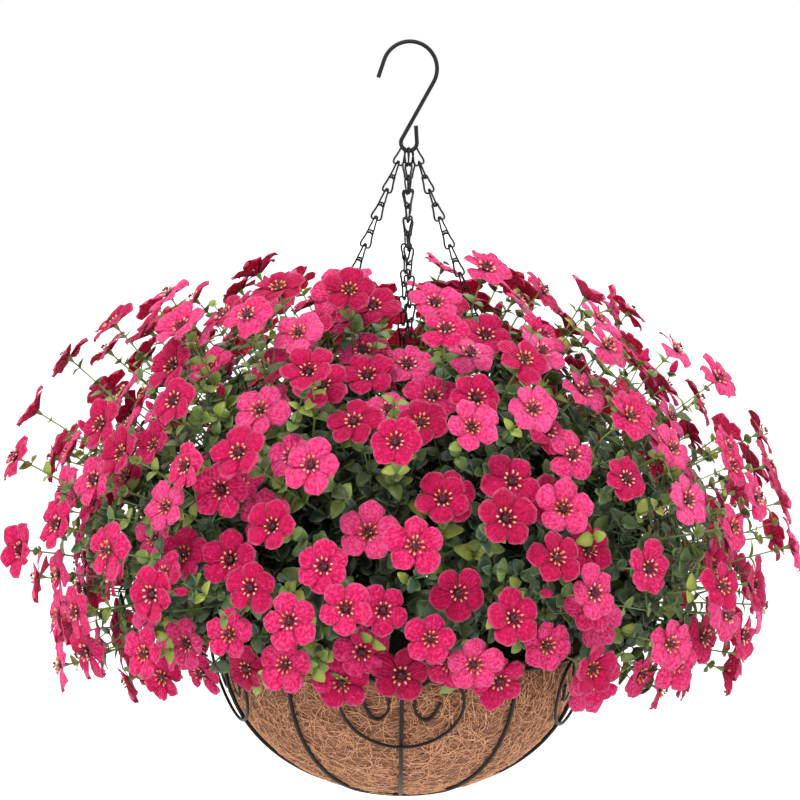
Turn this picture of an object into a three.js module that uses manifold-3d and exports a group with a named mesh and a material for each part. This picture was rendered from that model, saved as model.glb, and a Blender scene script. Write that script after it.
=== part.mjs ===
// A hanging basket of artificial fuchsia-pink flowers, in millimetres, +Z up.
// The origin is the inside top of the S-hook, where it sits on a bracket or rail, and -Y is the front.
// An open wire bowl holds a coir liner and a foam block. The cut flower sprays are pushed into the foam.
// Four chains join the bowl's rim to the small lower loop of the S-hook, which can swing on it.
import * as THREE from "three";
import { mergeVertices } from "three/addons/utils/BufferGeometryUtils.js";
import Module from "manifold-3d";

const wasm = await Module();
wasm.setup();

// ---- Driving dimensions ----
const GAP = 0.3; // air left between touching pieces

const HOOK_WIRE = 1.7; // every *_WIRE is a wire's radius
const HOOK_TOP_RADIUS = 22;
const HOOK_LOOP_RADIUS = 6.5;
const HOOK_CENTRES = 59.7; // between the centres of its two bends
const HOOK_TIP_LENGTH = 15;
const HOOK_TIP_LEAN = THREE.MathUtils.degToRad(18);
const HOOK_TAIL_LENGTH = 14;
const HOOK_TAIL_LEAN = 1; // how far its end is bent inwards

const RIM_Z = -489;
const RIM_RADIUS = 152.4; // a 12 inch bowl
const RIM_WIRE = 2;
const BOWL_DEPTH = 125;
const RIB_COUNT = 10;
const RIB_WIRE = 1.6;
const FOOT_RADIUS = 48;
const FOOT_WIRE = 1.6;
const SCROLL_COUNT = 5;
const SCROLL_WIRE = 1.3;

const LINER_THICK = 8;
const LINER_STAND = 4; // how far the liner stands up above the rim's centre
const LINER_CLEAR = 1.6; // from the ribs' inside to the liner
const FOAM_TOP = 16; // below the rim
const FOAM_CLEAR = 3; // from the liner's inside to the foam

const CHAIN_COUNT = 4;
const LINK_WIRE = 0.75;
const LINK_LENGTH = 15; // between the wire's centres at its ends
const LINK_WIDTH = 8;
const HOOK_EYE = HOOK_WIRE + LINK_WIRE + 4 * GAP; // the end links' bends round the hook and the rim
const RIM_EYE = RIM_WIRE + LINK_WIRE + 2 * GAP;
const CHAIN_HALF = 3.4; // half the width of the strand's envelope
const CHAIN_BOW = 5; // how far the flowers push a strand outwards at its middle
const CHAIN_TURN = THREE.MathUtils.degToRad(4); // the first chain hooks on just beside the front rib
const CHAIN_CLEAR = 6; // from a strand to a flower
const ROUTE_STEPS = 60; // steps that a strand's route is searched in
const NOTCH_DEEP = 12; // the notch in the liner's edge for a chain's lowest link
const NOTCH_WIDE = 3.2;

const SPRAY_COUNT = 28;
const FLOWER_COUNT = 320;
const FLOWER_TURN = 0.35; // where round the dome the flowers and the sprays begin
const SPRAY_TURN = 0.9;
const FLOWER_RADIUS = 21;
const FLOWER_RISE = 2; // from a flower's place up to its petals' tips
const HEART_DEPTH = 1.5; // and down to its middle
const FLOWER_DEPTH = 0.22; // how far inside the dome's outside a flower can stand, as a part of its reach
const CALYX_DEPTH = 5;
const CALYX_RADIUS = 1.3;
const DOME_TOP = 318; // the flowers' height above the rim
const DOME_SIDE = 332; // and their reach to the side
const DOME_POWER = 2.3; // 2 is an ellipse, more is squarer
const LOWEST_FLOWER = THREE.MathUtils.degToRad(98); // at the sides, measured from straight up
const FRONT_LIFT = THREE.MathUtils.degToRad(9); // how much higher the lowest flowers end at front and back
const LOWEST_SPRAY = THREE.MathUtils.degToRad(86);
const DROOP_FROM = THREE.MathUtils.degToRad(72); // flowers lower than this hang closer to the rim
const DROOP_SIDE = 0.17; // by this part of the dome's reach
const DROOP_FRONT = 0.5;
const STEM_RADIUS = 1.8;
const STEM_STEPS = 4;
const STEM_CLEAR = 14; // from a stem to the planes of the chains
const STEM_LIFT = 1.3; // from the foam's top to the middle of a stem's foot
const STEM_RISE = 45; // how high a stem that leans right over arches
const STALK_FIRST = 0.5; // where the flowers' stalks leave the stem, as parts of its length
const STALK_LAST = 0.97;
const STALK_SLIDE = 1.3; // how much further back the stalk of a flower leaves, for each radian it is off its spray
const STALK_PULL = 0.5; // how strongly a stalk turns its flower
const OUTWARD = 0.6; // how strongly a flower turns from its way to face outwards
const FACING_SPREAD = 0.5; // how widely the flowers' facings are scattered
const SHORTEST_STALK = 14;
const FORK = 0.6; // where a stem ends, as a part of the dome's reach
const OVER_RIM = 0.12; // flowers this low, as upward parts of their way, branch off beyond the rim
const STEM_SPREAD = 88; // radius of the patch of foam that the stems stand in
const SPREAD_POWER = 0.8; // below 1, the stems stand closer to the patch's edge
const LEAF_REACH = 15;
const LEAF_HALF_WIDTH = 5.5;
const LEAF_HALF_THICK = 0.8;
const LEAF_TILT = 0.4;
const LEAF_PLACES = [0.5, 0.75]; // as parts of the stem's length

const FRONT = -Math.PI / 2;
const GOLDEN = Math.PI * (3 - Math.sqrt(5));

// ---- Finishes ----
const finish = (name, color, roughness, metalness = 0) =>
  new THREE.MeshStandardMaterial({ name, color, roughness, metalness });
const black_wire = finish("black_wire", 0x141414, 0.45, 0.3);
const coir = finish("coir", 0x9a6238, 0.95);
const foam = finish("foam", 0x2f5030, 0.9);
const flowers = finish("flowers", 0xe0185c, 0.8);

// ---- Helpers ----
const v3 = (x, y, z) => new THREE.Vector3(x, y, z);
const polar = (radius, angle, z) => v3(radius * Math.cos(angle), radius * Math.sin(angle), z);
const root = new THREE.Group();

function addPiece(name, geometry, material, parent = root) {
  const mesh = new THREE.Mesh(geometry, material);
  mesh.name = name;
  parent.add(mesh);
  return mesh;
}

// A round wire's section, as a polygon.
function wireSection(radius, sides) {
  const corners = [];
  for (let i = 0; i < sides; i++) {
    const a = (2 * Math.PI * (i + 0.5)) / sides;
    corners.push(new THREE.Vector2(radius * Math.cos(a), radius * Math.sin(a)));
  }
  return new THREE.Shape(corners);
}

function wireAlong(curve, radius, sides, steps) {
  return new THREE.ExtrudeGeometry(wireSection(radius, sides), {
    steps,
    extrudePath: curve,
    bevelEnabled: false,
  });
}

function solidOf(geometry) {
  const bare = geometry.index ? geometry.toNonIndexed() : geometry.clone();
  bare.deleteAttribute("normal");
  bare.deleteAttribute("uv");
  const merged = mergeVertices(bare, 1e-3);
  return new wasm.Manifold(
    new wasm.Mesh({
      numProp: 3,
      vertProperties: merged.attributes.position.array,
      triVerts: new Uint32Array(merged.index.array),
    }),
  );
}

function geometryOf(solid) {
  const mesh = solid.getMesh();
  const geometry = new THREE.BufferGeometry();
  geometry.setAttribute("position", new THREE.BufferAttribute(mesh.vertProperties, mesh.numProp));
  geometry.setIndex(new THREE.BufferAttribute(mesh.triVerts, 1));
  return geometry;
}

// A number from 0 to 1 that is always the same for the same index and purpose.
function scatter(index, purpose) {
  const s = Math.sin(index * 12.9898 + purpose * 78.233) * 43758.5453;
  return s - Math.floor(s);
}

// ---- S-hook: one bent wire, a wide bend that hangs on the bracket and a small loop for the chains ----
const HOOK_TOP_Z = -(HOOK_TOP_RADIUS - HOOK_WIRE); // centre of the wide bend
const HOOK_LOOP_Z = HOOK_TOP_Z - HOOK_CENTRES; // centre of the small loop

// A curve of straight stretches and arcs, sampled evenly.
class BentWire extends THREE.Curve {
  constructor(points) {
    super();
    this.points = points;
    this.arcLengthDivisions = 400;
  }
  getPoint(t) {
    const at = t * (this.points.length - 1);
    const i = Math.min(Math.floor(at), this.points.length - 2);
    return this.points[i].clone().lerp(this.points[i + 1], at - i);
  }
}

function arcPoints(cx, cz, radius, from, to, count) {
  const points = [];
  for (let i = 0; i <= count; i++) {
    const a = from + ((to - from) * i) / count;
    points.push(v3(cx + radius * Math.cos(a), 0, cz + radius * Math.sin(a)));
  }
  return points;
}

function hookGeometry() {
  // The straight shank touches both bends from opposite sides, so its lean follows from their sizes.
  const lean = Math.asin((HOOK_TOP_RADIUS + HOOK_LOOP_RADIUS) / HOOK_CENTRES);
  const top = arcPoints(0, HOOK_TOP_Z, HOOK_TOP_RADIUS, Math.PI - HOOK_TIP_LEAN, -lean, 40);
  const loop = arcPoints(0, HOOK_LOOP_Z, HOOK_LOOP_RADIUS, Math.PI - lean, 2 * Math.PI, 24);
  const tipWay = v3(-Math.sin(HOOK_TIP_LEAN), 0, -Math.cos(HOOK_TIP_LEAN));
  const tip = top[0].clone().addScaledVector(tipWay, HOOK_TIP_LENGTH);
  const tail = loop[loop.length - 1].clone().add(v3(-HOOK_TAIL_LEAN, 0, HOOK_TAIL_LENGTH));
  const path = new BentWire([tip, ...top, ...loop, tail]);
  return wireAlong(path, HOOK_WIRE, 6, 48);
}
addPiece("s_hook", hookGeometry(), black_wire);

// ---- Chains ----
// Where a strand runs: from the loop, pushed outwards by the flowers, to the rim.
const chainAngle = (i) => FRONT + CHAIN_TURN + (2 * Math.PI * i) / CHAIN_COUNT;
const chainAngles = Array.from({ length: CHAIN_COUNT }, (_, i) => chainAngle(i));
const CHAIN_NAMES = ["front", "right", "back", "left"];
const CHAIN_SEAT = 0.24; // half the angle between the top links' seats on the hook's loop
const seatAngle = [-CHAIN_SEAT, 3 * CHAIN_SEAT, CHAIN_SEAT, -3 * CHAIN_SEAT];

function chainEnds(i) {
  const a = seatAngle[i];
  const top = v3(HOOK_LOOP_RADIUS * Math.sin(a), 0, HOOK_LOOP_Z - HOOK_LOOP_RADIUS * Math.cos(a));
  const bottom = polar(RIM_RADIUS, chainAngles[i], RIM_Z);
  return [top, bottom];
}

function chainMiddle(i) {
  const [top, bottom] = chainEnds(i);
  return top.clone().lerp(bottom, 0.5).add(polar(CHAIN_BOW, chainAngles[i], 0));
}

// A pear-shaped link hanging down from the origin: a narrow bend round the origin and a wide one below.
function pearLink(narrow, wide) {
  const drop = LINK_LENGTH - narrow - wide;
  const pear = (growth, Kind) => {
    const outline = new Kind();
    outline.absarc(0, 0, narrow + growth, 0, Math.PI, false);
    outline.absarc(0, -drop, wide + growth, Math.PI, 2 * Math.PI, false);
    outline.closePath();
    return outline;
  };
  const ring = pear(LINK_WIRE, THREE.Shape);
  ring.holes.push(pear(-LINK_WIRE, THREE.Path));
  const depth = 2 * LINK_WIRE;
  const link = new THREE.ExtrudeGeometry(ring, { depth, bevelEnabled: false, curveSegments: 3 });
  link.translate(0, 0, -LINK_WIRE);
  return link.rotateX(Math.PI / 2);
}

// Turns a piece drawn hanging down -Z so that it hangs along a direction, its flat side facing a normal.
function hangAlong(mesh, at, direction, normal) {
  const down = direction.clone().normalize();
  const y = normal.clone().addScaledVector(down, -normal.dot(down)).normalize();
  const z = down.clone().negate();
  mesh.quaternion.setFromRotationMatrix(new THREE.Matrix4().makeBasis(y.clone().cross(z), y, z));
  mesh.position.copy(at);
}

function addChain(i) {
  const name = CHAIN_NAMES[i];
  const [top, bottom] = chainEnds(i);
  const middle = chainMiddle(i);
  const startWay = middle.clone().sub(top).normalize();
  const endWay = bottom.clone().sub(middle).normalize();

  const seatTangent = v3(Math.cos(seatAngle[i]), 0, Math.sin(seatAngle[i]));
  const topLink = addPiece(`chain_${name}_top_link`, pearLink(HOOK_EYE, LINK_WIDTH / 2), black_wire);
  hangAlong(topLink, top, startWay, seatTangent);

  const rimLink = addPiece(`chain_${name}_rim_link`, pearLink(RIM_EYE, LINK_WIDTH / 2), black_wire);
  hangAlong(rimLink, bottom, endWay.clone().negate(), polar(1, chainAngles[i] + Math.PI / 2, 0));

  const start = top.clone().addScaledVector(startWay, LINK_LENGTH - HOOK_EYE + LINK_WIRE + GAP);
  const end = bottom.clone().addScaledVector(endWay, -(LINK_LENGTH - RIM_EYE + LINK_WIRE + GAP));
  const route = new THREE.QuadraticBezierCurve3(start, chainMiddle(i), end);
  const strand = wireAlong(route, CHAIN_HALF, 4, 6);
  addPiece(`chain_${name}`, strand, black_wire);
}

// ---- Wire bowl: rim, foot ring, ribs and heart-shaped scrolls ----
const bowlRadius = (depth) => RIM_RADIUS * Math.sqrt(Math.max(0, 1 - (depth / BOWL_DEPTH) ** 2));
const footDepth = BOWL_DEPTH * Math.sqrt(1 - (FOOT_RADIUS / RIM_RADIUS) ** 2);

function addRing(name, radius, wire, z, sides, steps) {
  const ring = addPiece(name, new THREE.TorusGeometry(radius, wire, sides, steps), black_wire);
  ring.position.z = z;
}

// A rib follows the bowl's quarter ellipse from under the rim to the foot ring.
function ribCurve(angle) {
  const from = Math.asin((RIM_WIRE + GAP) / BOWL_DEPTH);
  const to = Math.acos((FOOT_RADIUS + FOOT_WIRE + GAP) / RIM_RADIUS);
  const points = [];
  for (let i = 0; i <= 8; i++) {
    const a = from + ((to - from) * i) / 8;
    points.push(polar(RIM_RADIUS * Math.cos(a), angle, RIM_Z - BOWL_DEPTH * Math.sin(a)));
  }
  return new THREE.CatmullRomCurve3(points);
}

function addRibs() {
  for (let i = 0; i < RIB_COUNT; i++) {
    const rib = wireAlong(ribCurve(FRONT + (2 * Math.PI * i) / RIB_COUNT), RIB_WIRE, 5, 8);
    addPiece(`rib_${String(i + 1).padStart(2, "0")}`, rib, black_wire);
  }
}

// One half of a heart whose lobe curls back into itself: x from the middle, y up from the heart's foot.
const SCROLL_HALF = [
  [0, 0], [16, 2.5], [31, 10], [42, 21], [48, 35], [47, 48], [40, 57],
  [29, 60], [17, 54.5], [10.5, 43], [11, 31], [17.5, 24], [24, 27], [30, 39],
];
const SCROLL_HEIGHT = 60;

function scrollCurve() {
  const half = SCROLL_HALF.map(([x, y]) => v3(x, 0, y));
  const mirrored = half.slice(1).map((p) => v3(-p.x, 0, p.z)).reverse();
  return new THREE.CatmullRomCurve3([...mirrored, ...half]);
}

// A scroll is flat. It leans from a rib's outside at its foot to the rim's outside under its lobes.
function addScrolls() {
  const lobeOffset = 29;
  const lobeReach = Math.sqrt(RIM_RADIUS ** 2 - lobeOffset ** 2) + RIM_WIRE + SCROLL_WIRE + GAP;
  const footDrop = SCROLL_HEIGHT - 1;
  const footReach = bowlRadius(footDrop) + RIB_WIRE + SCROLL_WIRE + 2 * GAP;
  const lean = Math.atan2(lobeReach - footReach, footDrop);
  for (let i = 0; i < SCROLL_COUNT; i++) {
    const turn = new THREE.Group();
    turn.rotation.z = (2 * Math.PI * i) / SCROLL_COUNT;
    root.add(turn);
    const scroll = addPiece(`scroll_${i + 1}`, wireAlong(scrollCurve(), SCROLL_WIRE, 4, 36), black_wire, turn);
    scroll.rotation.x = lean;
    scroll.position.set(0, -footReach, RIM_Z - footDrop);
  }
}

// ---- Coir liner and foam block ----
function linerGeometry() {
  const outer = [];
  const inner = [];
  const inset = RIB_WIRE + LINER_CLEAR;
  const steps = 6;
  for (let i = 0; i <= steps; i++) {
    const a = (Math.PI / 2) * (i / steps);
    outer.push([(RIM_RADIUS - inset) * Math.cos(a), -(BOWL_DEPTH - inset) * Math.sin(a)]);
    const [r, d] = [RIM_RADIUS - inset - LINER_THICK, BOWL_DEPTH - inset - LINER_THICK];
    inner.push([r * Math.cos(a), -d * Math.sin(a)]);
  }
  const lip = [
    [inner[0][0], LINER_STAND],
    [outer[0][0], LINER_STAND],
  ];
  const profile = [...inner.reverse(), ...lip, ...outer];
  profile[0][0] = 0;
  profile[profile.length - 1][0] = 0;
  let liner = solidOf(latheUp(profile, 24));
  chainAngles.forEach((angle) => {
    liner = liner.subtract(solidOf(chainNotch(angle)));
  });
  return geometryOf(liner);
}

// The space that a chain's lowest link pushes into the liner's top edge.
function chainNotch(angle) {
  const high = 2 * (LINER_STAND + RIM_EYE + LINK_WIDTH / 2);
  const notch = new THREE.BoxGeometry(NOTCH_DEEP, NOTCH_WIDE, high);
  notch.rotateZ(angle);
  const at = polar(RIM_RADIUS - 1, angle, RIM_Z);
  return notch.translate(at.x, at.y, at.z);
}

// The foam fills the liner's inside up to below the rim.
function foamGeometry() {
  const inset = RIB_WIRE + LINER_CLEAR + LINER_THICK + FOAM_CLEAR;
  const [r, d] = [RIM_RADIUS - inset, BOWL_DEPTH - inset];
  const from = Math.asin(FOAM_TOP / d);
  const profile = [[0, -FOAM_TOP]];
  for (let i = 0; i <= 6; i++) {
    const a = from + ((Math.PI / 2 - from) * i) / 6;
    profile.push([i === 6 ? 0 : r * Math.cos(a), -d * Math.sin(a)]);
  }
  return latheUp(profile, 18);
}

// LatheGeometry turns round Y, so its result is stood up along Z, its faces pointing out.
function latheUp(profile, segments) {
  const points = profile.map(([r, z]) => new THREE.Vector2(r, z)).reverse();
  const geometry = new THREE.LatheGeometry(points, segments);
  geometry.rotateX(Math.PI / 2);
  geometry.translate(0, 0, RIM_Z);
  return geometry;
}

// ---- Flower sprays ----
// The dome's reach from the rim's centre, along a way that is tilted from straight up.
function domeReach({ tilt, angle }) {
  const [s, c] = [Math.abs(Math.sin(tilt)), Math.abs(Math.cos(tilt))];
  const full = ((s / DOME_SIDE) ** DOME_POWER + (c / DOME_TOP) ** DOME_POWER) ** (-1 / DOME_POWER);
  const droop = THREE.MathUtils.lerp(DROOP_SIDE, DROOP_FRONT, Math.sin(angle) ** 2);
  return full * (1 - droop * THREE.MathUtils.smoothstep(tilt, DROOP_FROM, LOWEST_FLOWER));
}

const centre = v3(0, 0, RIM_Z);

// Which of the wedges between the strands' upright planes a point stands in.
function wedgeOf(p) {
  const turn = THREE.MathUtils.euclideanModulo(Math.atan2(p.y, p.x) - chainAngle(0), 2 * Math.PI);
  return Math.floor((turn * CHAIN_COUNT) / (2 * Math.PI));
}

// Moves a point into its wedge until it is clear of the planes on both sides.
function intoWedge(p, clearance) {
  const wedge = wedgeOf(p);
  for (const [plane, inward] of [[wedge, 1], [wedge + 1, -1]]) {
    const way = polar(1, chainAngle(plane) + (inward * Math.PI) / 2, 0);
    p.addScaledVector(way, Math.max(0, clearance - p.dot(way)));
  }
  return p;
}

// The i-th of n directions spread evenly over the dome, from straight up to the lowest tilt.
function domeDirection(i, n, lowest, turn) {
  const tilt = Math.acos(1 - ((i + 0.5) / n) * (1 - Math.cos(lowest)));
  const angle = i * GOLDEN + turn;
  return { tilt, angle, way: polar(Math.sin(tilt), angle, Math.cos(tilt)) };
}

// The nearest point to p on a strand's route.
function nearestOnChain(p, i) {
  const [top, bottom] = chainEnds(i);
  const route = new THREE.QuadraticBezierCurve3(top, chainMiddle(i), bottom);
  let best = top;
  for (let k = 0; k <= ROUTE_STEPS; k++) {
    const q = route.getPoint(k / ROUTE_STEPS);
    if (q.distanceTo(p) < best.distanceTo(p)) best = q;
  }
  return best;
}

// Moves a point sideways until it is clear of every strand.
function clearOfChains(p, distance) {
  for (let i = 0; i < CHAIN_COUNT; i++) {
    const q = nearestOnChain(p, i);
    const away = p.clone().sub(q);
    if (away.length() < distance) {
      const side = polar(1, chainAngles[i] + Math.PI / 2, 0);
      const sign = away.dot(side) < 0 ? -1 : 1;
      p.addScaledVector(side, sign * (distance - Math.abs(away.dot(side))));
    }
  }
  return p;
}

function makeFlowers() {
  const made = [];
  for (let j = 0; j < FLOWER_COUNT; j++) {
    const direction = domeDirection(j, FLOWER_COUNT, LOWEST_FLOWER, FLOWER_TURN);
    const { tilt, angle, way } = direction;
    if (tilt > LOWEST_FLOWER - FRONT_LIFT * Math.sin(angle) ** 2) continue;
    const reach = domeReach(direction) * (1 - FLOWER_DEPTH * scatter(j, 1));
    const at = centre.clone().addScaledVector(way, reach);
    clearOfChains(at, FLOWER_RADIUS + CHAIN_HALF + CHAIN_CLEAR);
    const facing = way.clone();
    facing.addScaledVector(polar(1, angle, 0), OUTWARD);
    facing.addScaledVector(polar(1, angle + Math.PI / 2, 0), FACING_SPREAD * (scatter(j, 2) - 0.5));
    facing.z += FACING_SPREAD * (scatter(j, 3) - 0.5);
    made.push({ at, facing: facing.normalize(), way });
  }
  return made;
}

function makeSprays(flowerList) {
  const sprays = [];
  for (let i = 0; i < SPRAY_COUNT; i++) {
    const direction = domeDirection(i, SPRAY_COUNT, LOWEST_SPRAY, SPRAY_TURN);
    const { tilt, angle, way } = direction;
    const spread = STEM_SPREAD * Math.sin(tilt) ** SPREAD_POWER;
    const foot = intoWedge(polar(spread, angle, RIM_Z - FOAM_TOP + STEM_LIFT), STEM_CLEAR);
    const fork = intoWedge(centre.clone().addScaledVector(way, FORK * domeReach(direction)), STEM_CLEAR);
    const rise = foot.clone().lerp(fork, 0.5).add(v3(0, 0, STEM_RISE * Math.sin(tilt) ** 2));
    sprays.push({ way, stem: new THREE.QuadraticBezierCurve3(foot, rise, fork), flowers: [] });
  }
  for (const flower of flowerList) {
    const near = sprays.filter((spray) => wedgeOf(spray.way) === wedgeOf(flower.at));
    near.reduce((a, b) => (b.way.dot(flower.way) > a.way.dot(flower.way) ? b : a)).flowers.push(flower);
  }
  return sprays;
}

// Turns a flower partly along its stalk, and moves it out until the stalk comes from behind it.
function settle(flower, stalkFoot) {
  const stalk = flower.at.clone().sub(stalkFoot);
  flower.facing.addScaledVector(stalk.clone().normalize(), STALK_PULL).normalize();
  flower.at.addScaledVector(flower.facing, Math.max(0, SHORTEST_STALK - stalk.dot(flower.facing)));
}

// A flower on its stalk: the stalk's foot is in the stem, and five corners stand for the five petals.
function flowerSolid(flower, stalkFoot) {
  settle(flower, stalkFoot);
  const profile = [
    new THREE.Vector2(0, -2 * CALYX_DEPTH),
    new THREE.Vector2(CALYX_RADIUS, -CALYX_DEPTH),
    new THREE.Vector2(FLOWER_RADIUS, FLOWER_RISE),
    new THREE.Vector2(0, -HEART_DEPTH),
  ];
  const geometry = new THREE.LatheGeometry(profile, 5);
  const turn = new THREE.Quaternion().setFromUnitVectors(v3(0, 1, 0), flower.facing);
  geometry.applyQuaternion(turn);
  geometry.translate(flower.at.x, flower.at.y, flower.at.z);
  const place = geometry.attributes.position;
  for (let k = 0; k < place.count; k += profile.length) {
    place.setXYZ(k, stalkFoot.x, stalkFoot.y, stalkFoot.z);
  }
  return solidOf(geometry);
}

// A pair of opposite leaves, as one flat diamond across the stem.
function leafPairSolid(stem, t, turn) {
  const along = stem.getTangent(t);
  const side = along.clone().cross(v3(0.3, 0.2, 1)).normalize().applyAxisAngle(along, turn);
  const normal = side.clone().cross(along).addScaledVector(along, LEAF_TILT).normalize();
  const width = normal.clone().cross(side);
  const geometry = new THREE.OctahedronGeometry(1);
  geometry.scale(LEAF_REACH, LEAF_HALF_WIDTH, LEAF_HALF_THICK);
  geometry.applyMatrix4(new THREE.Matrix4().makeBasis(side, width, normal).setPosition(onStem(stem, t)));
  return solidOf(geometry);
}

// A point on the middle of the stem's straight steps.
function onStem(stem, t) {
  const k = Math.min(Math.floor(t * STEM_STEPS), STEM_STEPS - 1);
  const next = stem.getPointAt((k + 1) / STEM_STEPS);
  return stem.getPointAt(k / STEM_STEPS).lerp(next, t * STEM_STEPS - k);
}

function sprayGeometry(spray) {
  let solid = solidOf(wireAlong(spray.stem, STEM_RADIUS, 3, STEM_STEPS));
  spray.flowers.forEach((flower) => {
    const spreadOut = Math.acos(Math.min(1, flower.way.dot(spray.way)));
    const lowest = flower.way.z < OVER_RIM ? STALK_LAST : STALK_FIRST;
    const t = THREE.MathUtils.clamp(STALK_LAST - STALK_SLIDE * spreadOut, lowest, STALK_LAST);
    solid = solid.add(flowerSolid(flower, onStem(spray.stem, t)));
  });
  LEAF_PLACES.forEach((t, k) => {
    solid = solid.add(leafPairSolid(spray.stem, t, (k * Math.PI) / 2));
  });
  return geometryOf(solid);
}

// ---- Assembly ----
for (let i = 0; i < CHAIN_COUNT; i++) addChain(i);
addRing("rim_ring", RIM_RADIUS, RIM_WIRE, RIM_Z, 6, 36);
addRing("foot_ring", FOOT_RADIUS, FOOT_WIRE, RIM_Z - footDepth, 6, 20);
addRibs();
addScrolls();
addPiece("coir_liner", linerGeometry(), coir);
addPiece("foam_block", foamGeometry(), foam);
makeSprays(makeFlowers()).forEach((spray, i) => {
  addPiece(`flower_spray_${String(i + 1).padStart(2, "0")}`, sprayGeometry(spray), flowers);
});

export default root;
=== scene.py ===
import math

import bmesh
import bpy
import numpy as np
from mathutils import Matrix, Quaternion, Vector


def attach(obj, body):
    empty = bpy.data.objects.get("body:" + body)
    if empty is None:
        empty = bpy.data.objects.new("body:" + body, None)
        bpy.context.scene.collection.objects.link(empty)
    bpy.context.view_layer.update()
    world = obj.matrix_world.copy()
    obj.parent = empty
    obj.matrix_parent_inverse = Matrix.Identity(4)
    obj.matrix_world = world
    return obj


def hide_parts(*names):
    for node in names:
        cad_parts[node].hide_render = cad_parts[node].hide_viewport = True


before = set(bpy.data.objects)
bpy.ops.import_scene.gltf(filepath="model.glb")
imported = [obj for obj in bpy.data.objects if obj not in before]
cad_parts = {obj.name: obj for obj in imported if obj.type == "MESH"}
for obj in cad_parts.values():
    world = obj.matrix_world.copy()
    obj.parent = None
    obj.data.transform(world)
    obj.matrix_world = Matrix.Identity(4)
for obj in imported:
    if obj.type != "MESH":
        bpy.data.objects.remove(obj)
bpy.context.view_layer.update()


# ---- Studio ----
# A pale floor well below the basket, a white surround, a broad soft light from the upper front left, a
# weak one from the right and one from behind. The camera is level with the hook and looks down a little.
def clear_selection():
    if bpy.context.object and bpy.context.object.mode != "OBJECT":
        bpy.ops.object.mode_set(mode="OBJECT")
    bpy.ops.object.select_all(action="DESELECT")


def new_finish(name):
    """A material with one Principled shader, which is returned with the node tree."""
    finish = bpy.data.materials.new(name)
    finish.use_nodes = True
    return finish, finish.node_tree, finish.node_tree.nodes["Principled BSDF"]


clear_selection()
bpy.ops.mesh.primitive_plane_add(size=40, location=(0, 0, -0.95))
floor = bpy.context.object
floor.name = "floor"
pale_floor, floor_tree, floor_shader = new_finish("pale_floor")
floor_shader.inputs["Base Color"].default_value = (0.9, 0.9, 0.9, 1)
floor_shader.inputs["Roughness"].default_value = 0.9
floor.data.materials.append(pale_floor)

surround = bpy.data.worlds.new("white_surround")
surround.use_nodes = True
surround.node_tree.nodes["Background"].inputs["Color"].default_value = (1, 1, 1, 1)
surround.node_tree.nodes["Background"].inputs["Strength"].default_value = 1.0
bpy.context.scene.world = surround


def soft_light(name, strength, softness, aim_from):
    bpy.ops.object.light_add(type="SUN", location=aim_from)
    light = bpy.context.object
    light.name = name
    light.data.energy = strength
    light.data.angle = math.radians(softness)
    light.rotation_euler = (-Vector(aim_from)).to_track_quat("-Z", "Y").to_euler()


soft_light("key_light", 2.2, 25, (-1.0, -2.2, 2.4))
soft_light("fill_light", 0.6, 60, (2.5, -2.0, 0.6))
soft_light("back_light", 1.2, 80, (0.4, 2.4, 1.2))

LOOK_AT = Vector((-0.0045, 0, -0.29))
LEAN = math.radians(0.75)  # the basket hangs a little to the left of its hook
bpy.ops.object.camera_add(location=(-0.0045, -2.3, -0.05))
camera = bpy.context.object
aim = (LOOK_AT - camera.location).to_track_quat("-Z", "Y")
camera.rotation_euler = (aim @ Quaternion((0, 0, 1), LEAN)).to_euler()
camera.data.lens = 127
camera.data.sensor_width = 36
bpy.context.scene.camera = camera
bpy.context.scene.view_settings.view_transform = "Standard"


# ---- S-hook ----
# One bent length of round steel wire, painted black. Its wide bend hangs on the bracket and its small
# loop carries the four chains. Both tips are cut square and rounded by the paint.
HOOK_WIRE = 0.0017
HOOK_TOP_RADIUS = 0.022
HOOK_LOOP_RADIUS = 0.0065
HOOK_CENTRES = 0.0597
HOOK_TOP_Z = HOOK_WIRE - HOOK_TOP_RADIUS
HOOK_LOOP_Z = HOOK_TOP_Z - HOOK_CENTRES
HOOK_TIP_LENGTH = 0.015
HOOK_TIP_LEAN = math.radians(18)
HOOK_TAIL_LENGTH = 0.014
HOOK_TAIL_LEAN = 0.001  # how far its end is bent inwards


def object_noise(tree, scale, detail):
    """Noise over the object's own coordinates."""
    place = tree.nodes.new("ShaderNodeTexCoord")
    noise = tree.nodes.new("ShaderNodeTexNoise")
    noise.inputs["Scale"].default_value = scale
    noise.inputs["Detail"].default_value = detail
    tree.links.new(place.outputs["Object"], noise.inputs["Vector"])
    return noise.outputs["Fac"]


def shade_ramp(tree, value, shades):
    """The colour of a ramp at a value, from its positions and colours."""
    ramp = tree.nodes.new("ShaderNodeValToRGB")
    for _ in shades[2:]:
        ramp.color_ramp.elements.new(0.5)
    for element, (position, colour) in zip(ramp.color_ramp.elements, shades):
        element.position = position
        element.color = (*colour, 1)
    tree.links.new(value, ramp.inputs["Fac"])
    return ramp.outputs["Color"]


def math_step(tree, operation, *values):
    """One sum on sockets and plain numbers."""
    step = tree.nodes.new("ShaderNodeMath")
    step.operation = operation
    for socket, value in zip(step.inputs, values):
        if isinstance(value, bpy.types.NodeSocket):
            tree.links.new(value, socket)
        else:
            socket.default_value = value
    return step.outputs["Value"]


def raise_relief(tree, shader, height, strength, distance):
    relief = tree.nodes.new("ShaderNodeBump")
    relief.inputs["Strength"].default_value = strength
    relief.inputs["Distance"].default_value = distance
    tree.links.new(height, relief.inputs["Height"])
    tree.links.new(relief.outputs["Normal"], shader.inputs["Normal"])


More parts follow.
